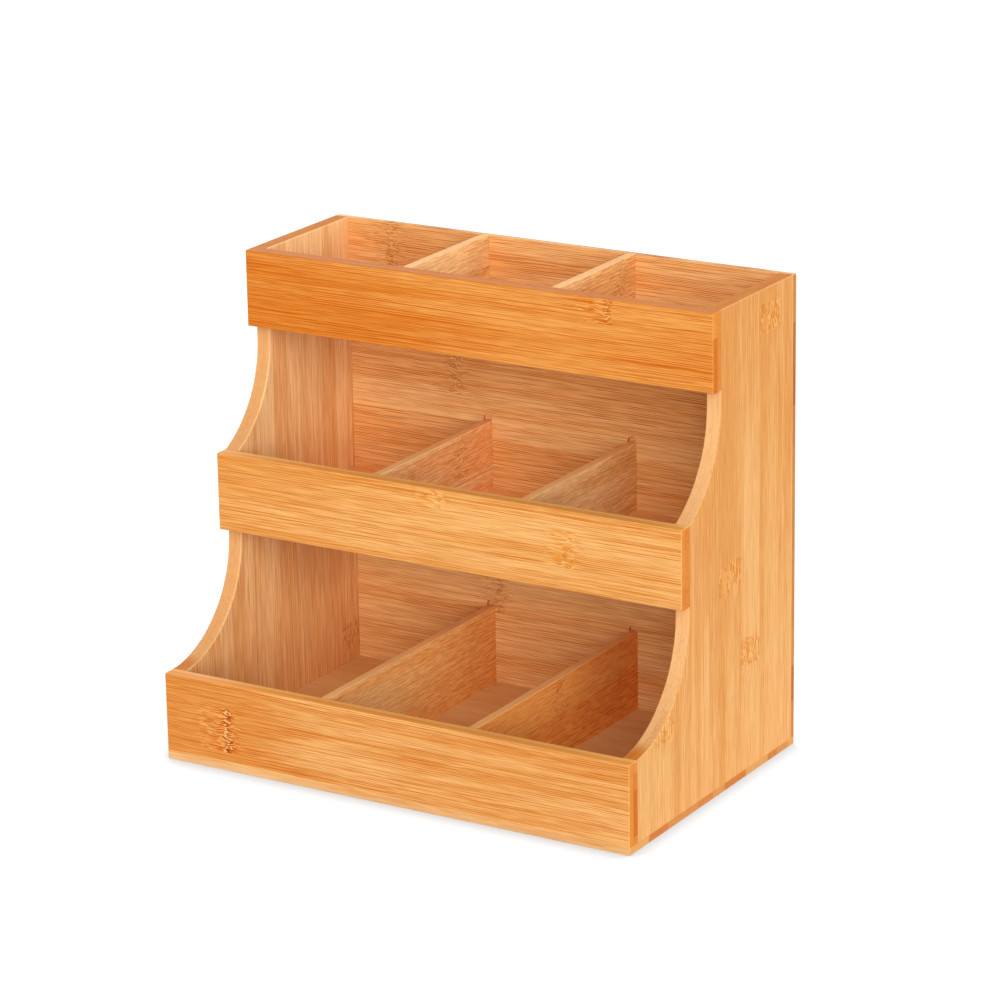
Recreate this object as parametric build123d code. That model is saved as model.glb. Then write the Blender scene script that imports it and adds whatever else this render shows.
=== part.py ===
from build123d import *
import os

os.makedirs("parts", exist_ok=True)

# Width over the side panels
width = 310.0

# Board thicknesses
side_thickness = 9.3
lip_thickness = 9.0
base_thickness = 4.7
back_thickness = 4.2
shelf_thickness = 5.0
divider_thickness = 5.5

# Heights of the front lips, and of the openings between them
bottom_lip_height = 48.6
middle_lip_height = 47.0
top_lip_height = 46.0
lower_opening_height = 70.5
upper_opening_height = 68.2

# Depths: each lip stands a step behind the one below it
lower_step = 60.4
upper_step = 36.6
top_compartment_depth = 86.8

# Scallops: straight run of the side panel's edge under a lip, before the hollow curve starts
lower_scallop_straight = 4.5
upper_scallop_straight = 9.0

# Eased edges
edge_radius = 0.8
divider_edge_radius = 0.6

# Grooves: the side panels hold the shelf ends, and the back board holds the divider ends
shelf_groove_depth = 3.0
divider_groove_depth = 2.2
divider_groove_clearance = 0.15
divider_groove_rise = 0.9

# Dowels between each lip and the front edges of the side panels
dowel_diameter = 4.0
dowel_length = 15.0
dowel_in_lip = 5.5
dowel_clearance = 0.1
dowel_end_gap = 0.5
dowel_chamfer = 0.5
dowel_height_shares = (0.3, 0.78)

# Countersunk screws through the base board and the back board into the side panels
screw_length = 16.0
screw_shank_diameter = 2.6
screw_head_diameter = 5.4
screw_tip_length = 3.0
screw_tip_diameter = 0.4
screw_clearance = 0.1
screw_head_sink = 0.2
screw_slot_width = 0.7
screw_slot_depth = 1.1
base_screw_depth_shares = (0.12, 0.5, 0.9)
back_screw_height_shares = (0.06, 0.33, 0.66, 0.94)

# One overrun for every cut
overrun = 1.0

# Overall size, with the origin under the middle of the object
height = (base_thickness + bottom_lip_height + lower_opening_height + middle_lip_height
          + upper_opening_height + top_lip_height)
depth = lower_step + upper_step + lip_thickness + top_compartment_depth + back_thickness
right_x = width / 2
front_y = -depth / 2
rear_y = depth / 2
inside_rear_y = rear_y - back_thickness
inside_right_x = right_x - side_thickness
side_middle_x = right_x - side_thickness / 2


def tier(lip_y, lip_z, lip_height, floor_thickness):
    """One tier: where its lip stands, how high the lip is and where the floor behind it lies."""
    return {
        "front": lip_y,
        "inside": lip_y + lip_thickness,
        "lip_z": lip_z,
        "rim": lip_z + lip_height,
        "floor": lip_z + floor_thickness,
    }


middle_lip_z = base_thickness + bottom_lip_height + lower_opening_height
top_lip_z = middle_lip_z + middle_lip_height + upper_opening_height
tiers = {
    "bottom": tier(front_y, base_thickness, bottom_lip_height, 0),
    "middle": tier(front_y + lower_step, middle_lip_z, middle_lip_height, shelf_thickness),
    "top": tier(front_y + lower_step + upper_step, top_lip_z, top_lip_height, shelf_thickness),
}

# The dividers leave compartments of one width
divider_names = ("left", "right")
divider_count = len(divider_names)
compartment_width = (2 * inside_right_x - divider_count * divider_thickness) / (divider_count + 1)
divider_pitch = compartment_width + divider_thickness
first_divider_x = compartment_width + divider_thickness / 2 - inside_right_x
divider_places = {name: first_divider_x + i * divider_pitch for i, name in enumerate(divider_names)}


def board(x_range, y_range, z_range):
    """A flat board between three pairs of limits."""
    (x0, x1), (y0, y1), (z0, z1) = x_range, y_range, z_range
    return Pos((x0 + x1) / 2, (y0 + y1) / 2, (z0 + z1) / 2) * Box(x1 - x0, y1 - y0, z1 - z0)


def face_edges(piece, axis, end):
    """The edges of a piece's outermost face: end 0 is the lowest along the axis, and -1 the highest."""
    return piece.faces().sort_by(axis)[end].edges()


def base_board():
    piece = board((-right_x, right_x), (front_y, rear_y), (0, base_thickness))
    upright = piece.edges().filter_by(Axis.Z)
    piece = fillet(upright, edge_radius)
    piece = fillet(face_edges(piece, Axis.Z, 0), edge_radius)
    return piece - screw_holes(base_screw_places())


def scallop(lower, upper, straight):
    """Hollow curve that leaves the upper lip's line upright and ends on the rim of the lower lip."""
    start = (upper["inside"], upper["lip_z"] - straight)
    end = (lower["inside"], lower["rim"])
    return start, TangentArc(start, end, tangent=(0, -1))


def side_outline():
    """Outline of a side panel seen from the side, as (depth, height)."""
    low, middle, top = tiers["bottom"], tiers["middle"], tiers["top"]
    lower_start, lower_curve = scallop(low, middle, lower_scallop_straight)
    upper_start, upper_curve = scallop(middle, top, upper_scallop_straight)
    rear_foot, rear_head = (inside_rear_y, base_thickness), (inside_rear_y, height)
    foot = Polyline(rear_foot, (low["inside"], base_thickness), (low["inside"], low["rim"]))
    waist = Line(lower_start, (middle["inside"], middle["rim"]))
    head = Polyline(upper_start, (top["inside"], height), rear_head, rear_foot)
    return make_face(foot + lower_curve + waist + upper_curve + head)


def side_panel_right():
    blank = Pos(inside_right_x, 0, 0) * extrude(Plane.YZ * side_outline(), side_thickness)
    front = [edge for edge in face_edges(blank, Axis.X, 0) + face_edges(blank, Axis.X, -1)
             if edge.center().Y < tiers["top"]["inside"] + edge_radius and edge.center().Z > base_thickness]
    piece = fillet(front, edge_radius)
    side_range = (inside_right_x, right_x)
    for level in tiers.values():
        behind = (level["inside"], level["inside"] + 2 * edge_radius)
        piece += board(side_range, behind, (level["lip_z"], level["rim"]))
    long_top = face_edges(piece, Axis.Z, -1).filter_by(Axis.Y)
    piece = fillet(long_top, edge_radius)
    for level in (tiers["middle"], tiers["top"]):
        groove_range = (inside_right_x - overrun, inside_right_x + shelf_groove_depth)
        groove_run = (level["inside"] - overrun, inside_rear_y + overrun)
        piece -= board(groove_range, groove_run, (level["lip_z"], level["floor"]))
    piece -= dowel_holes()
    return piece - screw_holes(base_screw_places() + back_screw_places())


def back_board():
    piece = board((-right_x, right_x), (inside_rear_y, rear_y), (base_thickness, height))
    piece = fillet(piece.edges().filter_by(Axis.Z).group_by(Axis.Y)[-1], edge_radius)
    rear_top = face_edges(piece, Axis.Z, -1).filter_by(Axis.X).sort_by(Axis.Y)[-1]
    piece = fillet(rear_top, edge_radius)
    for level in tiers.values():
        for x in divider_places.values():
            piece -= divider_groove(x, level)
    return piece - screw_holes(back_screw_places())


def divider_groove(x, level):
    """Router groove with rounded ends: the lower end hides behind the floor, the upper one shows."""
    groove_width = divider_thickness + 2 * divider_groove_clearance
    top = level["rim"] + divider_groove_rise
    straight = top - level["floor"]
    outline = Rectangle(groove_width, straight) + Pos(0, straight / 2) * Circle(groove_width / 2)
    outline += Pos(0, -straight / 2) * Circle(groove_width / 2)
    middle = Plane(origin=(x, inside_rear_y, (top + level["floor"]) / 2), x_dir=(1, 0, 0), z_dir=(0, -1, 0))
    return extrude(middle * outline, divider_groove_depth, both=True)


def lip(level, on_base):
    piece = board((-right_x, right_x), (level["front"], level["inside"]), (level["lip_z"], level["rim"]))
    front = face_edges(piece, Axis.Y, 0)
    if on_base:
        front = front.sort_by(Axis.Z)[1:]
    rim = face_edges(piece, Axis.Z, -1).sort_by(Axis.Y)[1:]
    piece = fillet(front + rim, edge_radius)
    return piece - dowel_holes()


def shelf(level):
    reach = inside_right_x + shelf_groove_depth
    return board((-reach, reach), (level["inside"], inside_rear_y), (level["lip_z"], level["floor"]))


def divider(x, level):
    half = divider_thickness / 2
    run = (level["inside"], inside_rear_y + divider_groove_depth)
    piece = board((x - half, x + half), run, (level["floor"], level["rim"]))
    return fillet(face_edges(piece, Axis.Z, -1).filter_by(Axis.Y), divider_edge_radius)


def dowel_places():
    """Centre of each dowel's joint face, on the line where a lip lies against a side panel."""
    places = []
    for level in tiers.values():
        for share in dowel_height_shares:
            z = level["lip_z"] + share * (level["rim"] - level["lip_z"])
            places += [(x, level["inside"], z) for x in (-side_middle_x, side_middle_x)]
    return places


def rod(place, radius, in_front, behind):
    """A round rod along the depth through a place, so far in front of it and so far behind it."""
    x, y, z = place
    start = Plane(origin=(x, y - in_front, z), x_dir=(1, 0, 0), z_dir=(0, 1, 0))
    return extrude(start * Circle(radius), in_front + behind)


def dowel_holes():
    radius = dowel_diameter / 2 + dowel_clearance
    in_front = dowel_in_lip + dowel_end_gap
    behind = dowel_length - dowel_in_lip + dowel_end_gap
    return [rod(place, radius, in_front, behind) for place in dowel_places()]


def lip_dowels():
    dowels = []
    for place in dowel_places():
        dowel = rod(place, dowel_diameter / 2, dowel_in_lip, dowel_length - dowel_in_lip)
        dowels.append(chamfer(dowel.edges().filter_by(GeomType.CIRCLE), dowel_chamfer))
    return Compound(children=dowels)


def base_screw_places():
    """Planes on the underside, looking up into the side panels."""
    start, run = tiers["bottom"]["inside"], inside_rear_y - tiers["bottom"]["inside"]
    return [Plane(origin=(x, start + share * run, 0), x_dir=(1, 0, 0), z_dir=(0, 0, 1))
            for share in base_screw_depth_shares for x in (-side_middle_x, side_middle_x)]


def back_screw_places():
    """Planes on the rear face, looking forward into the side panels."""
    run = height - base_thickness
    return [Plane(origin=(x, rear_y, base_thickness + share * run), x_dir=(1, 0, 0), z_dir=(0, -1, 0))
            for share in back_screw_height_shares for x in (-side_middle_x, side_middle_x)]


def screw_body(gap):
    """Half outline of a countersunk screw below its head's face, as (radius, depth), wider by a gap."""
    head, shank = screw_head_diameter / 2 + gap, screw_shank_diameter / 2 + gap
    cone_end = screw_head_sink + (screw_head_diameter - screw_shank_diameter) / 2
    tip_start, tip_end = screw_length - screw_tip_length, screw_length + gap
    tip = screw_tip_diameter / 2 + gap
    return [(head, screw_head_sink), (shank, cone_end), (shank, tip_start), (tip, tip_end), (0, tip_end)]


def turned(profile):
    return revolve(Plane.XZ * make_face(Polyline(*profile, close=True)), Axis.Z)


def screw_holes(places):
    body = screw_body(screw_clearance)
    mouth = [(0, -overrun), (body[0][0], -overrun)]
    hole = turned(mouth + body)
    return [place * hole for place in places]


def screws(places):
    screw = turned([(0, screw_head_sink)] + screw_body(0))
    for turn in (0, 90):
        slot = Rot(0, 0, turn) * Box(screw_shank_diameter, screw_slot_width, 2 * screw_slot_depth)
        screw -= Pos(0, 0, screw_head_sink) * slot
    return Compound(children=[place * screw for place in places])


pieces = {"base_board": base_board(), "back_board": back_board()}
pieces["side_panel_right"] = side_panel_right()
pieces["side_panel_left"] = mirror(pieces["side_panel_right"], Plane.YZ)
for name, level in tiers.items():
    pieces["lip_" + name] = lip(level, name == "bottom")
    if name != "bottom":
        pieces["shelf_" + name] = shelf(level)
    for side, x in divider_places.items():
        pieces["divider_" + name + "_" + side] = divider(x, level)
pieces["lip_dowels"] = lip_dowels()
pieces["base_screws"] = screws(base_screw_places())
pieces["back_screws"] = screws(back_screw_places())

for name, piece in pieces.items():
    export_step(piece, "parts/" + name + ".step")
    box = piece.bounding_box()
    print(name, len(piece.solids()), "solids", round(piece.volume), "mm3", box.size)
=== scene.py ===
import math
import bpy
import numpy as np
from mathutils import Matrix, Vector


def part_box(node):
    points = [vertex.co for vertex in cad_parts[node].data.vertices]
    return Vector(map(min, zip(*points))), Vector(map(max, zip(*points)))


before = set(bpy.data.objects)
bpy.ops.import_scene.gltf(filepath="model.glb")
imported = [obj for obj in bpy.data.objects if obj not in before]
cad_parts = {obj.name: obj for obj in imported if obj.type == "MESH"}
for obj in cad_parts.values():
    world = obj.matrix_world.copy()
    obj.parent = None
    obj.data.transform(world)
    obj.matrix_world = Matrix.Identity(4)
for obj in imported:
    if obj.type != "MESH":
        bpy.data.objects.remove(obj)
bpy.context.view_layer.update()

mm = 0.001
perMetre = 1000.0
print("frame:", len(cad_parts), "nodes")


def fromScreen(red, green, blue):
    # a colour as a screen shows it, 0 to 255, turned into the linear values that a shader takes
    parts = np.array([red, green, blue]) / 255
    linear = np.where(parts <= 0.04045, parts / 12.92, ((parts + 0.055) / 1.055) ** 2.4)
    return (*linear.tolist(), 1.0)


# the camera stands to the right of the object's front and looks a little down
camera = {
    "place": (1184.6 * mm, -1922.3 * mm, 872.0 * mm),
    "yaw": 0.5464,      # radians to the left of straight at the back
    "pitch": 0.3078,    # radians down
    "roll": -0.0168,
    "lens": 148.21,     # millimetres, as the sensor's width
    "sensor": 36.0,
    "farthest": 100.0,  # metres
}


def makeCamera(settings):
    yaw, pitch, roll = settings["yaw"], settings["pitch"], settings["roll"]
    ahead = Vector((-math.sin(yaw) * math.cos(pitch), math.cos(yaw) * math.cos(pitch), -math.sin(pitch)))
    right = Vector((math.cos(yaw), math.sin(yaw), 0))
    up = right.cross(ahead)
    side = math.cos(roll) * right + math.sin(roll) * up
    top = -math.sin(roll) * right + math.cos(roll) * up
    data = bpy.data.cameras.new("camera")
    data.lens = settings["lens"]
    data.sensor_width = settings["sensor"]
    data.clip_end = settings["farthest"]
    eye = bpy.data.objects.new("camera", data)
    bpy.context.scene.collection.objects.link(eye)
    turn = Matrix((side, top, -ahead)).transposed().to_4x4()
    eye.matrix_world = Matrix.Translation(settings["place"]) @ turn
    bpy.context.scene.camera = eye


makeCamera(camera)
print("camera set")


class Wires:
    # puts nodes into one material and joins them: a value is a number, a tuple or another node's output
    def __init__(self, tree):
        self.tree = tree

    def feed(self, socket, value):
        if isinstance(value, bpy.types.NodeSocket):
            self.tree.links.new(value, socket)
        else:
            socket.default_value = value

    def put(self, kind, inputs=None, output=0, **settings):
        node = self.tree.nodes.new("ShaderNode" + kind)
        for name, value in settings.items():
            setattr(node, name, value)
        for key, value in (inputs or {}).items():
            self.feed(node.inputs[key], value)
        return node.outputs[output] if node.outputs else node

    def math(self, operation, first, second=0.0, third=0.0):
        return self.put("Math", {0: first, 1: second, 2: third}, operation=operation)

    def vector(self, operation, first, second=(0, 0, 0), scale=1.0):
        return self.put("VectorMath", {0: first, 1: second, 3: scale}, operation=operation)

    def join(self, x, y, z=0.0):
        return self.put("CombineXYZ", {0: x, 1: y, 2: z})

    def split(self, vector):
        node = self.put("SeparateXYZ", {0: vector}).node
        return list(node.outputs)

    def ramp(self, value, low, high, start=0.0, end=1.0):
        # eases from start to end while the value goes from low to high
        inputs = {"Value": value, "From Min": low, "From Max": high, "To Min": start, "To Max": end}
        return self.put("MapRange", inputs, interpolation_type="SMOOTHSTEP")

    def noise(self, place, detail):
        return self.put("TexNoise", {"Vector": place, "Scale": 1.0, "Detail": detail})

    def choose(self, share, first, second):
        return self.put("Mix", {0: share, 4: first, 5: second}, output=1, data_type="VECTOR")

    def tint(self, share, first, second, way="MIX"):
        return self.put("Mix", {0: share, 6: first, 7: second}, output=2, data_type="RGBA", blend_type=way)


def newMaterial(name):
    material = bpy.data.materials.new(name)
    material.use_nodes = True
    material.node_tree.nodes.clear()
    return material, Wires(material.node_tree)


def finishMaterial(wires, colour, roughness, height, relief, coat, specular=0.5, metallic=0.0):
    # the surface shader, with the height of its relief in millimetres
    bump = wires.put("Bump", {"Height": height, "Strength": 1.0, "Distance": relief * mm})
    shader = wires.put("BsdfPrincipled", {"Base Color": colour, "Roughness": roughness, "Normal": bump})
    sockets = shader.node.inputs
    sockets["Metallic"].default_value = metallic
    sockets["Specular IOR Level"].default_value = specular
    sockets["Coat Weight"].default_value = coat["weight"]
    sockets["Coat Roughness"].default_value = coat["roughness"]
    wires.put("OutputMaterial", {"Surface": shader})


# what every bamboo board shares: lengths along the grain and widths across it, in millimetres
fibre = {
    # length, width, and how much finer detail is mixed in
    "tone": (260.0, 13.0, 0.0),     # slow changes from pale to deep cane
    "patch": (110.0, 2.4, 1.0),     # bundles of deeper fibres
    "crowd": (260.0, 5.0, 0.0),     # where the lines stand closer or further apart
    "hair": (12.0, 0.45, 0.0),      # the finest marks
    "sway": (0.28, 0.14),           # how far the tone and the patches move the cane's tone
    # distance between lines, their width as a share of it, and the length of a piece of line
    "line": (2.0, 0.32, 90.0),
    "thread": (1.05, 0.52, 36.0),
    "crowding": 1.6,                # how far the lines move together, in lines
    "contrast": (0.65, 1.2),        # how strong the lines are on pale and on deep cane
    "ply": 2.0,                     # depth in which a line keeps its darkness
    "wander": (150.0, 24.0, 2.0),   # length, width and reach of a fibre's slow bend
    "swirl": (6.0, 4.0, 3.0),       # the same, of its bends round a knuckle
    "dot": 1.0,                     # from one cut vessel to the next in end grain
    # how dark the cut vessels are, and how much darker in a knuckle and at the end of a deep strip
    "dotShare": (0.3, 0.5, 0.4),
    "pit": 4.0,                     # from one small hole to the next
    # half the width of a joint: where it is darkest and where it ends
    "glueLine": (0.08, 0.288),
    "seamLine": (0.088, 0.352),
    "rimLine": (0.32, 1.6),
    "gluePatch": 60.0,              # length in which the glue lines between strips come and go
    "glueShare": 0.25,              # and how dark they get
    "cutKnuckle": 0.3,              # how much of a knuckle shows where its strip is cut
    "rimShare": 0.85,               # how much of the painted light and shade on the rims takes the place of the grain's colour
    "edgeHighlight": 0.3,                  # how strongly the painted highlight lightens the rounded edges
    "relief": (40.0, 0.8, 2.0),
    "depth": 0.06,                  # of the relief
    # the least, what the finest marks add, and what knuckles and end grain add
    "roughness": (0.42, 0.2, 0.12),
    "lacquer": {"weight": 0.02, "roughness": 0.35},
    "gloss": 0.08,
}

# how every knuckle runs across its strip and where it ends, in millimetres
knuckleEdge = {
    "bend": (7.0, 6.0),     # width and reach of its bends
    "ragged": 0.8,          # width of the fibres that end one by one
    "reach": (0.25, 1.1),   # the shortest and longest of them, as shares of the dark part
    "fade": 0.35,           # the share of its reach at which a fibre starts to fade
    "coreRagged": 3.0,      # how far the core's edge moves from fibre to fibre
    "coreFade": (1.0, 2.6),     # how far in from it the core starts and is full
    "twinRagged": 5.0,      # the same of the second row
    "twinFade": 3.4,
}

# a knuckle crosses one strip, where the cane had its joint: lengths along the grain in millimetres
darkKnuckle = {
    "core": 3.4,            # half of its length
    "before": 17.0,         # how far dark fibres reach on the low side
    "after": 13.0,          # and on the high side
    "curl": (2.6, 1.3),     # length and width of the curls in its core
    "flame": (5.0, 0.6),    # length and width of the dark fibres
    "blush": 0.12,          # how deep the ground is among the fibres, and in the core
    "ground": 0.6,
    "light": 0.85,          # how strongly the core's light and dark curls show
    "dark": 0.95,
    "feather": 0.75,        # how strongly the dark fibres show
    "burn": 0.85,           # the dark curls' colour, from the dark fibres', 0, to brown, 1
    "pits": 0.0,            # small dark holes
}
flamedKnuckle = dict(
    darkKnuckle, core=2.6, before=36.0, after=4.0, curl=(2.4, 0.8), flame=(9.0, 0.8),
    blush=0.5, ground=0.5, light=0.6, feather=1.0, burn=0.5)
softKnuckle = dict(
    darkKnuckle, core=4.4, before=22.0, curl=(2.0, 0.9), flame=(7.0, 0.8),
    blush=0.0, ground=0.1, light=0.5, dark=0.6, feather=0.45, burn=0.2)
faintKnuckle = dict(
    softKnuckle, curl=(3.2, 0.8), light=0.85, dark=0.65, feather=0.5, burn=0.15, pits=0.9)
broadKnuckle = dict(
    darkKnuckle, core=8.5, before=22.0, after=14.0, curl=(4.4, 1.1), flame=(10.0, 1.2),
    blush=0.1, ground=0.15, light=0.5, dark=0.8, feather=0.4, burn=0.1)
cream = fromScreen(255, 202, 122)
brown = fromScreen(134, 57, 4)
vessel = fromScreen(190, 100, 34)
joint = fromScreen(128, 66, 26)


def objectPlace(wires):
    # a point's place in Object coordinates, in millimetres
    place = wires.put("TexCoord").node.outputs["Object"]
    return wires.vector("SCALE", place, scale=perMetre)


def boardPlaces(wires, board):
    # a point's place along the grain, across the strips and through the plies, in millimetres
    low, high = (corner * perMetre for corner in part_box(board["node"]))
    points = wires.split(objectPlace(wires))
    facing = wires.split(wires.vector("ABSOLUTE", wires.put("TexCoord").node.outputs["Normal"]))
    places = {"points": dict(zip("XYZ", points))}
    for key, axis in (("along", board["grain"]), ("across", board["across"]), ("through", board["through"])):
        i = "XYZ".index(axis)
        places[key] = points[i]
        places[key + "Low"] = low[i]
        places[key + "Size"] = high[i] - low[i]
        places[key + "Facing"] = facing[i]
        share = wires.math("SUBTRACT", points[i], low[i])
        places[key + "Share"] = wires.math("DIVIDE", share, high[i] - low[i])
    return places


def pickStrip(wires, strips, share):
    # the facts of the strip at a share of the width, and the share between it and the nearest glue line
    facts = wires.join(*strips[0][1:])
    nearest = 1.0
    for start, *values in strips[1:]:
        facts = wires.choose(wires.math("GREATER_THAN", share, start), facts, tuple(values))
        gap = wires.math("ABSOLUTE", wires.math("SUBTRACT", share, start))
        nearest = wires.math("MINIMUM", nearest, gap)
    return facts, nearest


def stripFacts(wires, board, places):
    # tone, knuckle and end tone of the strip at a point, 1 where it is in the ply behind, and the
    # distance to the nearest glue line
    facts, nearest = pickStrip(wires, board["strips"], places["acrossShare"])
    behind = 0.0
    if "behind" in board:
        side = "GREATER_THAN" if board["face"] == "low" else "LESS_THAN"
        behind = wires.math(side, places["throughShare"], 0.5)
        otherFacts, otherNearest = pickStrip(wires, board["behind"], places["acrossShare"])
        facts = wires.choose(behind, facts, otherFacts)
        nearest = wires.math("MULTIPLY_ADD", behind, wires.math("SUBTRACT", otherNearest, nearest), nearest)
    tone, knuckleShare, endTone = wires.split(facts)
    return tone, knuckleShare, endTone, behind, wires.math("MULTIPLY", nearest, places["acrossSize"])


def knuckleMarks(wires, board, places, knuckleShare, seed):
    # how strongly a point shows the knuckle's curled core and the dark fibres that run out of it: each
    # fibre has a reach of its own, so the dark part ends ragged
    kind = board["knuckle"]
    centre = wires.math("MULTIPLY_ADD", knuckleShare, places["alongSize"], places["alongLow"])
    width, sway = knuckleEdge["bend"]
    bend = wires.noise(wires.join(wires.math("DIVIDE", places["across"], width), seed), 1.0)
    away = wires.math("SUBTRACT", places["along"], centre)
    away = wires.math("ADD", away, wires.math("MULTIPLY_ADD", bend, sway, -sway / 2))
    place = wires.join(wires.math("DIVIDE", places["across"], knuckleEdge["ragged"]), seed)
    ragged = wires.noise(place, 1.0)
    before = wires.math("DIVIDE", away, -kind["before"])
    after = wires.math("DIVIDE", away, kind["after"])
    distance = wires.math("MAXIMUM", before, after)
    reach = wires.ramp(ragged, 0.35, 0.65, *knuckleEdge["reach"])
    feather = wires.ramp(distance, reach, wires.math("MULTIPLY", reach, knuckleEdge["fade"]))
    edge = wires.math("MULTIPLY_ADD", ragged, -knuckleEdge["coreRagged"], wires.math("ABSOLUTE", away))
    core = wires.ramp(edge, *(kind["core"] - inwards for inwards in knuckleEdge["coreFade"]))
    marks = {"away": away, "feather": feather, "core": core}
    if "twin" in board:
        # a second, paler row of fibres on the low side
        twinEdge = wires.math("ABSOLUTE", wires.math("ADD", away, board["twin"]))
        twinEdge = wires.math("MULTIPLY_ADD", ragged, -knuckleEdge["twinRagged"], twinEdge)
        marks["twin"] = wires.ramp(twinEdge, kind["core"], kind["core"] - knuckleEdge["twinFade"])
    return marks


def grainNoise(wires, places, bent, size, seed):
    # a noise drawn out along the grain
    length, width, detail = size
    place = wires.join(wires.math("DIVIDE", places["along"], length), wires.math("DIVIDE", bent, width),
                       wires.math("ADD", wires.math("DIVIDE", places["through"], width), seed))
    return wires.noise(place, detail)


def fibreLines(wires, places, bent, crowd, size, run, seed):
    # fine lines side by side, each with a darkness of its own that comes and goes along it
    spacing, width, length = size
    row = wires.math("MULTIPLY_ADD", bent, 1 / spacing, seed)
    row = wires.math("MULTIPLY_ADD", crowd, fibre["crowding"], row)
    index = wires.math("FLOOR", row)
    off = wires.math("ABSOLUTE", wires.math("SUBTRACT", wires.math("SUBTRACT", row, index), 0.5))
    plies = wires.math("FLOOR", wires.math("DIVIDE", places["through"], fibre["ply"]))
    # 5.7 sets neighbouring lines far enough apart in the noise to be unlike each other
    apart = wires.math("MULTIPLY", index, 5.7)
    piece = wires.join(wires.math("DIVIDE", places["along"], length * run), apart, plies)
    darkness = wires.noise(piece, 1.0)
    return wires.math("MULTIPLY", wires.ramp(off, width / 2, width / 6), wires.ramp(darkness, 0.38, 0.6))


def fibrePatterns(wires, board, places, marks, seed):
    # fibres wander slowly and swirl round a knuckle
    kind, run = board["knuckle"], board.get("run", 1.0)
    length, width, reach = fibre["wander"]
    slow = grainNoise(wires, places, places["across"], (length, width, 0.0), seed)
    bent = wires.math("ADD", places["across"], wires.math("MULTIPLY_ADD", slow, reach, -reach / 2))
    length, width, reach = fibre["swirl"]
    turn = wires.noise(wires.join(wires.math("DIVIDE", marks["away"], length),
                                  wires.math("DIVIDE", places["across"], width), seed), 1.0)
    turn = wires.math("MULTIPLY", wires.math("SUBTRACT", turn, 0.5), marks["feather"])
    bent = wires.math("MULTIPLY_ADD", turn, reach, bent)
    fibres = {key: grainNoise(wires, places, bent, fibre[key], seed)
              for key in ("tone", "patch", "crowd", "hair")}
    fibres["line"] = fibreLines(wires, places, bent, fibres["crowd"], fibre["line"], run, seed)
    fibres["thread"] = fibreLines(wires, places, bent, fibres["crowd"], fibre["thread"], run, seed)
    fibres["curl"] = grainNoise(wires, places, bent, (*kind["curl"], 1.0), seed)
    fibres["flame"] = grainNoise(wires, places, bent, (*kind["flame"], 0.0), seed)
    if kind["pits"]:
        spots = wires.join(places["along"], places["across"], seed)
        spots = wires.vector("SCALE", spots, scale=1 / fibre["pit"])
        fibres["pit"] = wires.ramp(wires.put("TexVoronoi", {"Vector": spots, "Scale": 1.0}), 0.16, 0.08)
    return fibres


def shaded(wires, colour, pattern, dark, light):
    # multiplies a colour by a shade that follows the pattern: darker bamboo is warmer too
    warmth = 0.4
    shade = wires.ramp(pattern, 0.3, 0.7, dark, light)
    red = wires.math("MULTIPLY_ADD", shade, 1 - warmth, warmth)
    blue = wires.math("MULTIPLY_ADD", shade, 1 + warmth, -warmth)
    return wires.tint(1.0, colour, wires.join(red, shade, blue), "MULTIPLY")


def longGrain(wires, board, places, fibres, tone):
    # slow changes between pale and deep cane, long dark lines, and short ones between them
    body, pale, streak = (fromScreen(*board[key]) for key in ("body", "pale", "streak"))
    deep = wires.math("MULTIPLY_ADD", tone, board["stripShare"], 0.5 - 0.5 * board["stripShare"])
    slow, bundled = fibre["sway"]
    deep = wires.math("ADD", deep, wires.ramp(fibres["tone"], 0.3, 0.7, -slow, slow))
    deep = wires.math("ADD", deep, wires.ramp(fibres["patch"], 0.35, 0.65, -bundled, bundled))
    # a change along the length: on the lips painted light, paler towards their right ends; on the dividers
    # painted light at the front and painted shade towards the back; on the side panels deeper towards one
    # end
    first, last, settled = board["drift"]
    deep = wires.math("ADD", deep, wires.ramp(places["alongShare"], 0.0, settled, first, last))
    colour = wires.tint(wires.ramp(deep, 0.0, 1.0), pale, body)
    strength = wires.ramp(deep, 0.1, 0.9, *fibre["contrast"])
    for key in ("line", "thread"):
        line = wires.math("MULTIPLY", fibres[key], strength)
        colour = wires.tint(wires.math("MULTIPLY", line, board[key]), colour, streak)
    return shaded(wires, colour, fibres["hair"], 0.9, 1.08)


def speckled(wires, places, colour, share, seed):
    # cut across the grain the vessels are dots on a plain ground
    spots = wires.join(places["across"], places["through"], seed)
    spots = wires.vector("SCALE", spots, scale=1 / fibre["dot"])
    dots = wires.ramp(wires.put("TexVoronoi", {"Vector": spots, "Scale": 1.0}), 0.36, 0.14)
    return wires.tint(wires.math("MULTIPLY", dots, share), colour, vessel)


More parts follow.
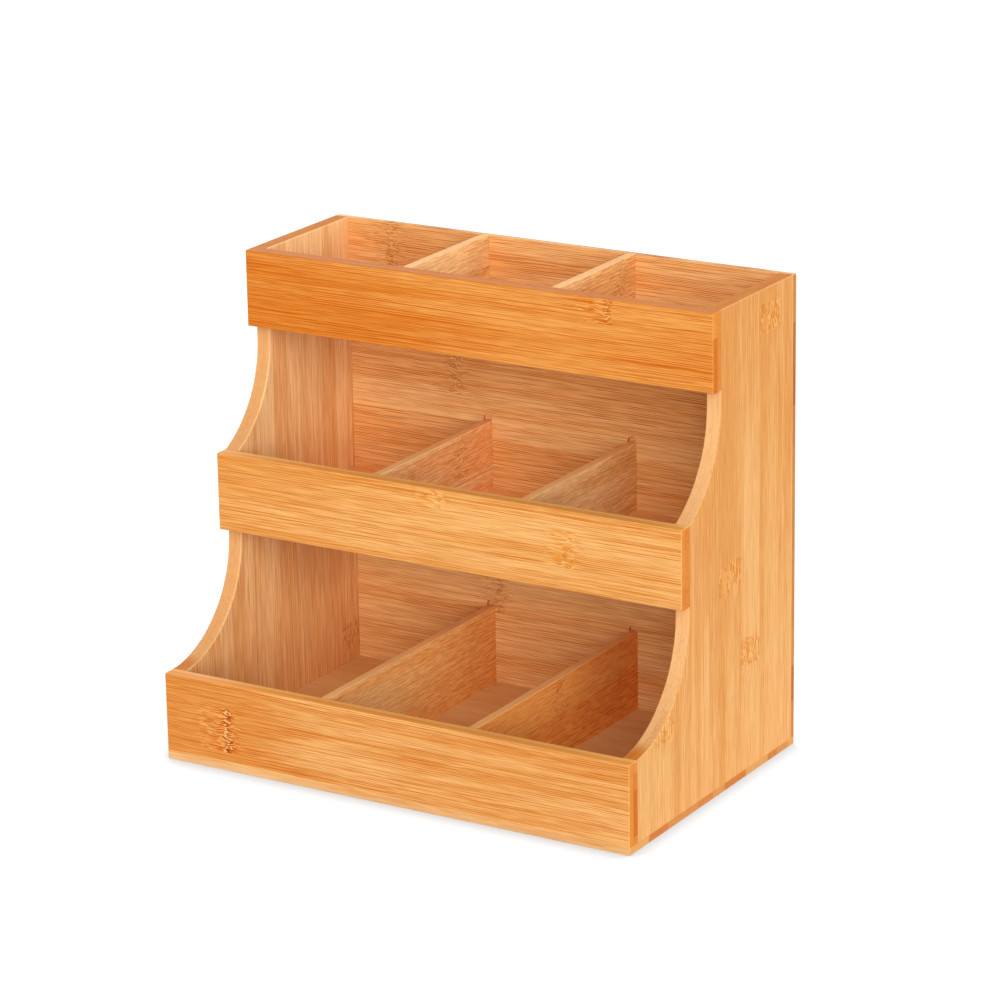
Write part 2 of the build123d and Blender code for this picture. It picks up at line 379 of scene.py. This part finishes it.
def knuckleTint(wires, board, marks, fibres, shown, colour):
    # dark fibres first, with light between them, then the core's light curls, thin dark ones and pits
    kind = board["knuckle"]
    thin = wires.ramp(wires.math("ABSOLUTE", wires.math("SUBTRACT", fibres["curl"], 0.47)), 0.08, 0.03)
    broken = wires.math("MULTIPLY", thin, wires.ramp(fibres["flame"], 0.38, 0.48))
    dim, lit = wires.ramp(fibres["flame"], 0.5, 0.6), wires.ramp(fibres["flame"], 0.48, 0.38)
    ember = np.array(fromScreen(*board.get("ember", board["streak"])))
    burnt = tuple((ember + (np.array(brown) - ember) * kind["burn"]).tolist())
    glow = tuple(((np.array(fromScreen(*board["pale"])) + np.array(cream)) / 2).tolist())
    ember = tuple(ember.tolist())
    layers = [
        (1.0, "feather", kind["blush"], ember),
        (1.0, "core", kind["ground"], ember),
        (lit, "feather", kind["feather"] * 0.6, glow),
        (dim, "feather", kind["feather"], ember),
        (wires.ramp(fibres["curl"], 0.52, 0.58), "core", kind["light"], glow),
        (broken, "core", kind["dark"], burnt),
    ]
    if "twin" in board:
        layers += [(lit, "twin", kind["light"] * 0.5, glow), (dim, "twin", kind["light"] * 0.3, ember)]
    if kind["pits"]:
        layers += [(fibres["pit"], "core", kind["pits"], joint)]
    for pattern, where, share, layer in layers:
        mark = wires.math("MULTIPLY", wires.math("MULTIPLY", pattern, marks[where]), share)
        colour = wires.tint(wires.math("MULTIPLY", mark, shown), colour, layer)
    return colour


def jointLines(wires, board, places, glue, cut, rim, colour):
    # faint glue lines between strips, clear ones between plies, and dark seams against other boards
    thin, wide = fibre["glueLine"]
    patches = wires.join(wires.math("DIVIDE", places["along"], fibre["gluePatch"]), board["seed"])
    patchy = wires.ramp(wires.noise(patches, 1.0), 0.4, 0.6, 0.0, fibre["glueShare"])
    line = wires.math("MULTIPLY", wires.ramp(glue, wide, thin), patchy)
    line = wires.math("MULTIPLY", line, wires.math("SUBTRACT", 1.0, cut))
    if "behind" in board:
        middle = wires.math("ABSOLUTE", wires.math("SUBTRACT", places["throughShare"], 0.5))
        middle = wires.math("MULTIPLY", middle, places["throughSize"])
        ply = wires.ramp(middle, wide, thin, 0.0, board["plyLine"])
        line = wires.math("MAXIMUM", line, wires.math("MULTIPLY", ply, cut))
    if "rimLine" in board:
        # along a planed rim the plies' joint shows broader
        thin, wide = fibre["rimLine"]
        broad = wires.ramp(middle, wide, thin, 0.0, board["rimLine"])
        line = wires.math("MAXIMUM", line, wires.math("MULTIPLY", broad, rim))
    colour = wires.tint(line, colour, joint)
    thin, wide = fibre["seamLine"]
    for axis, place, depth in board["seams"]:
        gap = wires.math("ABSOLUTE", wires.math("SUBTRACT", places["points"][axis], place * perMetre))
        seam = wires.ramp(gap, wide, thin, 0.0, depth)
        seam = wires.math("MULTIPLY", seam, wires.math("SUBTRACT", 1.0, rim))
        colour = wires.tint(seam, colour, joint)
    return colour


def bambooMaterial(board):
    material, wires = newMaterial(board["name"])
    places = boardPlaces(wires, board)
    tone, knuckleShare, endTone, behind, glue = stripFacts(wires, board, places)
    # a seed of its own for every strip: the factors only set the noise's places far apart
    seed = wires.math("MULTIPLY_ADD", tone, 137.0, board["seed"] * 17.3)
    seed = wires.math("MULTIPLY_ADD", knuckleShare, 71.0, seed)
    seed = wires.math("MULTIPLY_ADD", behind, 43.0, seed)
    marks = knuckleMarks(wires, board, places, knuckleShare, seed)
    fibres = fibrePatterns(wires, board, places, marks, seed)
    colour = longGrain(wires, board, places, fibres, tone)
    if "outside" in board:
        # the inner ply's colours carry painted light; the ply on the outside is brought back to the cane's
        # own colour
        colour = wires.tint(behind, colour, board["outside"], "MULTIPLY")

    # an edge sawn in a curve through the strips is smooth and pale
    throughFacing = places["throughFacing"]
    plainDots, knuckleDots, deepDots = fibre["dotShare"]
    if "sawn" in board:
        sawn = shaded(wires, fromScreen(*board["sawn"]), fibres["patch"], 0.96, 1.03)
        dotted = wires.math("MULTIPLY_ADD", marks["core"], knuckleDots, plainDots)
        sawn = speckled(wires, places, sawn, dotted, seed)
        cut = wires.ramp(throughFacing, 0.75, 0.35)
        colour = wires.tint(cut, colour, sawn)
        ended = wires.ramp(places["alongFacing"], 0.93, 0.985)
        # the rounded edges, which get a painted highlight
        edgeHighlight = wires.math("MULTIPLY", wires.ramp(throughFacing, 0.05, 0.3),
                            wires.ramp(throughFacing, 0.97, 0.8))
    else:
        cut = ended = wires.ramp(places["alongFacing"], 0.5, 0.85)
        squarest = wires.math("MAXIMUM", places["alongFacing"], places["acrossFacing"])
        # the rounded edges, which get a painted highlight
        edgeHighlight = wires.ramp(wires.math("MAXIMUM", squarest, throughFacing), 0.985, 0.85)
    shown = wires.ramp(cut, 0.0, 1.0, 1.0, fibre["cutKnuckle"])
    colour = knuckleTint(wires, board, marks, fibres, shown, colour)
    rim = wires.ramp(places["acrossFacing"], 0.5, 0.85)
    # painted light and shade: the faces along the rims take a colour of their own, lighter on the lower lips
    # and the dividers and darker on the top lip, which stands in for the light they get, and the ply behind
    # has one of its own
    if "rim" in board:
        rimBehind = board.get("rimBehind", board["rim"])
        paintedRimColour = wires.tint(behind, fromScreen(*board["rim"]), fromScreen(*rimBehind))
        colour = wires.tint(wires.math("MULTIPLY", rim, fibre["rimShare"]), colour, paintedRimColour)

    endGrain = wires.tint(endTone, fromScreen(*board["endPale"]), fromScreen(*board["endDark"]))
    endGrain = shaded(wires, endGrain, fibres["patch"], 0.94, 1.04)
    dotted = wires.math("MULTIPLY_ADD", endTone, deepDots, plainDots)
    endGrain = speckled(wires, places, endGrain, dotted, seed)
    colour = wires.tint(ended, colour, endGrain)
    colour = jointLines(wires, board, places, glue, cut, rim, colour)
    # painted highlight: the rounded edges are lightened towards the pale cane
    paintedHighlight = wires.math("MULTIPLY", edgeHighlight, fibre["edgeHighlight"])
    colour = wires.tint(paintedHighlight, colour, fromScreen(*board["pale"]))

    smoothest, fromMarks, fromEnds = fibre["roughness"]
    roughness = wires.math("MULTIPLY_ADD", fibres["hair"], fromMarks, smoothest)
    coarse = wires.math("MAXIMUM", marks["core"], ended)
    roughness = wires.math("MULTIPLY_ADD", coarse, fromEnds, roughness)
    height = grainNoise(wires, places, places["across"], fibre["relief"], board["seed"])
    finishMaterial(wires, colour, roughness, height, fibre["depth"], fibre["lacquer"], fibre["gloss"])
    return material


def dress(node, material):
    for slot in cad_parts[node].material_slots:
        slot.material = material


def lowOf(node, axis):
    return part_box(node)[0]["XYZ".index(axis)]


def highOf(node, axis):
    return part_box(node)[1]["XYZ".index(axis)]


# a strip is (start as a share of the width, tone from 0 pale to 1 deep, its knuckle's share of the length,
# end tone), and a knuckle further off than the board is long doesn't show
none = 3.0

# lips: two plies, the front one with the strips that show
# the lips' rim colours are painted light and shade
lips = {
    # their drift makes them paler towards the right ends: painted light
    "lip_bottom": {
        "body": (226, 151, 73), "pale": (243, 186, 115), "streak": (208, 112, 30), "ember": (212, 98, 12),
        "twin": 15.5, "drift": (1.1, -0.18, 0.4), "rim": (250, 167, 76), "rimBehind": (255, 191, 106),
        "rimLine": 0.1, "line": 0.95, "thread": 1.1,
        "knuckle": darkKnuckle,
        "strips": [(0.0, -0.8, none, 0.25), (0.032, 0.4, none, 0.25), (0.14, 0.5, 0.14, 0.3),
                   (0.69, 0.62, none, 0.25)],
        "behind": [(0.0, 0.5, none, 0.35), (0.1, 0.5, 0.7, 0.95), (0.66, 0.4, none, 0.6),
                   (0.86, 0.5, 0.3, 0.2)],
    },
    "lip_middle": {
        "body": (233, 163, 85), "pale": (245, 186, 114), "streak": (216, 124, 36), "ember": (231, 136, 26),
        "twin": 9.0, "drift": (0.35, 0.02, 0.45), "rim": (246, 168, 80), "rimBehind": (255, 196, 112),
        "rimLine": 0.1, "line": 1.0, "thread": 1.1,
        "knuckle": faintKnuckle,
        "strips": [(0.0, 0.5, none, 0.5), (0.29, 0.3, 0.767, 0.3), (0.745, 0.45, 0.49, 0.35)],
        "behind": [(0.0, 0.5, none, 0.5), (0.25, 0.4, 0.6, 0.4), (0.8, 0.5, none, 0.55)],
    },
    "lip_top": {
        "body": (221, 132, 46), "pale": (234, 159, 78), "streak": (205, 99, 12), "ember": (212, 104, 8),
        "drift": (0.4, -0.35, 0.7), "line": 1.1, "thread": 1.15,
        "rim": (206, 118, 32), "rimBehind": (200, 114, 34),
        "knuckle": flamedKnuckle,
        "strips": [(0.0, 0.5, none, 0.95), (0.17, 0.55, none, 0.9), (0.68, 0.4, 0.787, 0.2)],
        "behind": [(0.0, 0.5, 0.2, 0.45), (0.72, 0.4, none, 0.3)],
    },
}
for number, (node, look) in enumerate(lips.items()):
    look.update(name=node + "_bamboo", node=node, grain="X", across="Z", through="Y", face="low",
                seed=1 + number, stripShare=0.8, plyLine=0.3,
                endPale=(230, 150, 66), endDark=(205, 108, 30), seams=[("Y", highOf(node, "Y"), 0.25)])

# side panels: the ply on the right is the face, outside on the right panel and inside on the left one
sides = {
    "side_panel_right": {
        "body": (223, 157, 85), "pale": (235, 180, 113), "streak": (213, 129, 50),
        "line": 0.6, "thread": 0.9, "ember": (216, 126, 32), "sawn": (244, 186, 124),
        "drift": (-0.25, 0.25, 1.0),
        "seams": [("Z", highOf("base_board", "Z"), 0.12)],
        "strips": [(0.0, 0.25, none, 0.2), (0.08, 0.2, 0.204, 0.2), (0.2285, 0.5, none, 0.3),
                   (0.373, 0.48, none, 0.3), (0.516, 0.62, 0.436, 0.4), (0.658, 0.2, 0.254, 0.2),
                   (0.781, 0.58, 0.939, 0.5), (0.91, 0.42, none, 0.3)],
        "behind": [(0.0, 0.4, none, 0.4), (0.19, 0.5, 0.55, 0.3), (0.34, 0.3, none, 0.5),
                   (0.5, 0.6, 0.3, 0.2), (0.64, 0.45, 0.8, 0.4), (0.79, 0.35, none, 0.3)],
    },
    # the left panel's colours are paler than the right one's: painted light on its inner face
    "side_panel_left": {
        "body": (245, 187, 121), "pale": (255, 213, 152), "streak": (214, 136, 72),
        "line": 0.6, "thread": 1.0, "sawn": (234, 171, 108), "drift": (0.3, -0.3, 1.0),
        "outside": (0.93, 0.85, 0.72, 1.0),     # the outer ply's own colour, as a share of the inner one's painted-lit colour
        "seams": [("Z", highOf("base_board", "Z"), 0.3), ("Y", lowOf("back_board", "Y"), 0.5)],
        "strips": [(0.0, 0.4, 0.7, 0.2), (0.11, 0.3, none, 0.3), (0.25, 0.55, none, 0.3),
                   (0.40, 0.35, none, 0.2), (0.54, 0.5, none, 0.4), (0.67, 0.4, none, 0.3),
                   (0.80, 0.6, none, 0.5), (0.90, 0.5, 0.055, 0.3)],
        "behind": [(0.0, 0.5, none, 0.3), (0.13, 0.3, 0.3, 0.4), (0.27, 0.45, none, 0.3),
                   (0.42, 0.6, 0.62, 0.5), (0.57, 0.3, 0.12, 0.3), (0.7, 0.5, 0.86, 0.2),
                   (0.84, 0.4, none, 0.4)],
    },
}
for number, (node, look) in enumerate(sides.items()):
    look.update(name=node + "_bamboo", node=node, grain="Z", across="Y", through="X", face="high",
                seed=5 + number, stripShare=1.0, knuckle=broadKnuckle, plyLine=0.12,
                endPale=(221, 138, 54), endDark=(198, 106, 34))

# the back board, seen between the tiers from the front and whole from behind
backs = {
    "back_board": {
        "name": "back_board_bamboo", "node": "back_board", "grain": "X", "across": "Z", "through": "Y",
        "seed": 8, "stripShare": 1.0, "drift": (0.0, 0.0, 1.0), "knuckle": softKnuckle, "seams": [],
        "body": (244, 178, 106), "pale": (250, 200, 134), "streak": (202, 120, 56),
        "line": 0.6, "thread": 1.1, "endPale": (208, 138, 70), "endDark": (182, 104, 44),
        "strips": [(0.0, 0.4, 0.8, 0.2), (0.08, 0.5, none, 0.85), (0.16, 0.35, 0.36, 0.1),
                   (0.245, 0.5, 0.9, 0.3), (0.33, 0.45, none, 0.2), (0.415, 0.4, none, 0.3),
                   (0.5, 0.6, none, 0.15), (0.585, 0.35, none, 0.25), (0.64, 0.5, 0.27, 0.5),
                   (0.725, 0.45, none, 1.0), (0.81, 0.4, none, 0.8), (0.9, 0.5, 0.13, 0.2)],
    },
}

# boards that lie flat
shelfColours = {
    "body": (236, 166, 98), "pale": (246, 186, 122), "streak": (208, 130, 70),
    "line": 0.5, "thread": 0.8, "endPale": (236, 170, 98), "endDark": (212, 128, 60),
}
floors = {
    "base_board": {
        "body": (229, 174, 112), "pale": (236, 188, 130), "streak": (218, 150, 84),
        "line": 0.4, "thread": 0.5, "endPale": (224, 169, 100), "endDark": (206, 126, 60),
        "strips": [(0.0, 0.3, none, 0.1), (0.11, 0.5, none, 1.0), (0.22, 0.3, 0.7, 0.65),
                   (0.4, 0.5, none, 0.85), (0.49, 0.4, 0.2, 0.45), (0.56, 0.5, none, 0.95),
                   (0.69, 0.35, 0.88, 0.2), (0.83, 0.55, none, 0.9), (0.89, 0.45, 0.35, 0.55),
                   (0.96, 0.4, none, 0.2)],
    },
    "shelf_middle": {
        **shelfColours,
        "strips": [(0.0, 0.4, 0.62, 0.3), (0.2, 0.55, none, 0.3), (0.4, 0.35, 0.2, 0.3),
                   (0.61, 0.5, 0.85, 0.3), (0.82, 0.4, none, 0.3)],
    },
    "shelf_top": {
        **shelfColours,
        "strips": [(0.0, 0.5, 0.3, 0.3), (0.28, 0.35, 0.74, 0.3), (0.56, 0.5, none, 0.3),
                   (0.84, 0.4, 0.12, 0.3)],
    },
}
for number, (node, look) in enumerate(floors.items()):
    look.update(name=node + "_bamboo", node=node, grain="X", across="Y", through="Z", seed=9 + number,
                stripShare=1.0, drift=(0.0, 0.0, 1.0), knuckle=softKnuckle, seams=[])

# dividers: two strips high, with the glue line at a height of their own
dividerLook = {
    "body": (241, 182, 114), "pale": (255, 209, 147), "streak": (199, 123, 61),
    # the rim colour is painted light on the top and bottom faces
    "rim": (250, 190, 125),
}
dividerKnuckles = {"divider_bottom_right": 0.5, "divider_top_right": 0.8, "divider_middle_left": 0.7}
# three of them get colours of their own, redder than the others', and two of them brighter too
dividerColours = {
    "divider_bottom_left": {"body": (255, 184, 104), "pale": (255, 206, 134), "streak": (214, 122, 52)},
    "divider_bottom_right": {"body": (255, 163, 80), "pale": (255, 176, 92), "streak": (222, 108, 40)},
    "divider_middle_left": {"body": (255, 188, 120), "pale": (255, 213, 154), "streak": (216, 130, 66)},
}
dividers = {}
for number, node in enumerate(sorted(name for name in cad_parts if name.startswith("divider"))):
    place = dividerKnuckles.get(node, none)
    wave = 0.5 + 0.5 * math.sin(2.1 * number)
    # the drift paints light at the front ends and shade towards the back
    dividers[node] = dict(
        dividerLook, name=node + "_bamboo", node=node, grain="Y", across="Z", through="X", seed=20 + number,
        stripShare=1.0, line=0.7, thread=0.9, run=0.22, drift=(-0.35, 0.3, 1.0), knuckle=softKnuckle,
        endPale=(240, 172, 104), endDark=(208, 130, 72), seams=[],
        strips=[(0.0, 0.4 + 0.2 * wave, none, 0.4), (0.35 + 0.2 * wave, 0.6 - 0.2 * wave, place, 0.3)])
    dividers[node].update(dividerColours.get(node, {}))

for group in (lips, sides, backs, floors, dividers):
    for node, board in group.items():
        dress(node, bambooMaterial(board))
    print("bamboo:", ", ".join(group))


def plainWood(name, colour, streak):
    # turned beech: fine lengthwise flecks
    material, wires = newMaterial(name)
    fleck = (0.4, 5.0, 0.4)     # its size along X, Y and Z in millimetres
    places = zip(wires.split(objectPlace(wires)), fleck)
    stretched = wires.join(*(wires.math("DIVIDE", place, size) for place, size in places))
    flecks = wires.noise(stretched, 2.0)
    tinted = wires.tint(wires.ramp(flecks, 0.5, 0.7), fromScreen(*colour), fromScreen(*streak))
    finishMaterial(wires, tinted, wires.math("MULTIPLY_ADD", flecks, 0.2, 0.5), flecks, 0.04,
                   {"weight": 0.0, "roughness": 0.5})
    return material


def platedSteel(name, colour):
    # zinc plating: a faint mottle and fine turning marks
    material, wires = newMaterial(name)
    mottlesPerMm, marksPerMm = 1.3, 7.0
    mottle = wires.noise(wires.vector("SCALE", objectPlace(wires), scale=mottlesPerMm), 3.0)
    marks = wires.noise(wires.vector("SCALE", objectPlace(wires), scale=marksPerMm), 2.0)
    shade = wires.ramp(mottle, 0.3, 0.7, 0.85, 1.0)
    tinted = wires.tint(1.0, fromScreen(*colour), wires.join(shade, shade, shade), "MULTIPLY")
    roughness = wires.math("MULTIPLY_ADD", mottle, 0.25, 0.2)
    finishMaterial(wires, tinted, roughness, marks, 0.015, {"weight": 0.0, "roughness": 0.3}, metallic=1.0)
    return material


fixings = {
    "lip_dowels": plainWood("dowel_beech", (224, 190, 146), (192, 150, 104)),
    "base_screws": platedSteel("screw_zinc", (206, 204, 198)),
    "back_screws": platedSteel("screw_zinc_back", (206, 204, 198)),
}
for node, material in fixings.items():
    dress(node, material)
print("fixings:", ", ".join(fixings))

# floor, world and lamps
studio = {
    "floorReach": 12.0,
    "floorColour": (0.86, 0.86, 0.86, 1.0),
    "shadowColour": (0.86, 0.95, 1.0, 1.0),
    "shadowShare": 0.25,            # how much of the floor that the camera sees takes real light
    "whiteLevel": 1.18,             # brings the floor back to white where no shadow falls
    # where the object meets the floor: the shade's reach, and the share of the white left in it
    "contact": (16 * mm, 0.62),
    "worldLevel": 0.18,
    "lamps": {
        # degrees to the right of the front, degrees up, strength, spread in degrees
        "front": (37.0, 17.5, 2.94, 55.0),
        "above": (20.0, 78.0, 0.28, 60.0),
        "leftBehind": (-125.0, 25.0, 1.5, 40.0),
        "rightBehind": (150.0, 25.0, 1.2, 40.0),
    },
}


def seenRays(wires):
    # 1 for what the camera, a reflection or a see-through piece shows, 0 for the light on its way
    rays = wires.put("LightPath").node.outputs
    seen = wires.math("MAXIMUM", rays["Is Camera Ray"], rays["Is Glossy Ray"])
    return wires.math("MAXIMUM", seen, rays["Is Transmission Ray"])


def makeFloor(settings):
    reach = settings["floorReach"]
    corners = [(-reach, -reach, 0), (reach, -reach, 0), (reach, reach, 0), (-reach, reach, 0)]
    mesh = bpy.data.meshes.new("floor")
    mesh.from_pydata(corners, [], [(0, 1, 2, 3)])
    floor = bpy.data.objects.new("floor", mesh)
    bpy.context.scene.collection.objects.link(floor)
    material, wires = newMaterial("floor_paper")
    paper = wires.put("BsdfDiffuse", {"Color": settings["floorColour"]})
    shadeReach, whiteLeft = settings["contact"]
    openness = wires.put("AmbientOcclusion", {"Distance": shadeReach}, output=1, samples=8)
    level = settings["whiteLevel"]
    glow = wires.ramp(openness, 0.4, 1.0, level * whiteLeft, level)
    white = wires.put("Emission", {"Color": (1, 1, 1, 1), "Strength": glow})
    shadow = wires.put("BsdfDiffuse", {"Color": settings["shadowColour"]})
    shown = wires.put("MixShader", {0: settings["shadowShare"], 1: white, 2: shadow})
    floorShader = wires.put("MixShader", {0: seenRays(wires), 1: paper, 2: shown})
    wires.put("OutputMaterial", {"Surface": floorShader})
    mesh.materials.append(material)


def makeWorld(settings):
    world = bpy.data.worlds.new("studio")
    bpy.context.scene.world = world
    world.use_nodes = True
    world.node_tree.nodes.clear()
    wires = Wires(world.node_tree)
    seen = seenRays(wires)
    level = wires.math("MULTIPLY_ADD", seen, 1.0 - settings["worldLevel"], settings["worldLevel"])
    sky = wires.put("Background", {"Color": (1, 1, 1, 1), "Strength": level})
    wires.put("OutputWorld", {"Surface": sky})


def makeLamps(settings):
    for name, (turn, rise, strength, spread) in settings["lamps"].items():
        data = bpy.data.lights.new(name, "SUN")
        data.energy = strength
        data.angle = math.radians(spread)
        lamp = bpy.data.objects.new(name, data)
        bpy.context.scene.collection.objects.link(lamp)
        turn, rise = math.radians(turn), math.radians(rise)
        towards = Vector((math.sin(turn) * math.cos(rise), -math.cos(turn) * math.cos(rise), math.sin(rise)))
        lamp.rotation_euler = towards.to_track_quat("Z", "Y").to_euler()


makeFloor(studio)
makeWorld(studio)
makeLamps(studio)
bpy.context.scene.view_settings.view_transform = "Standard"
print("studio set")
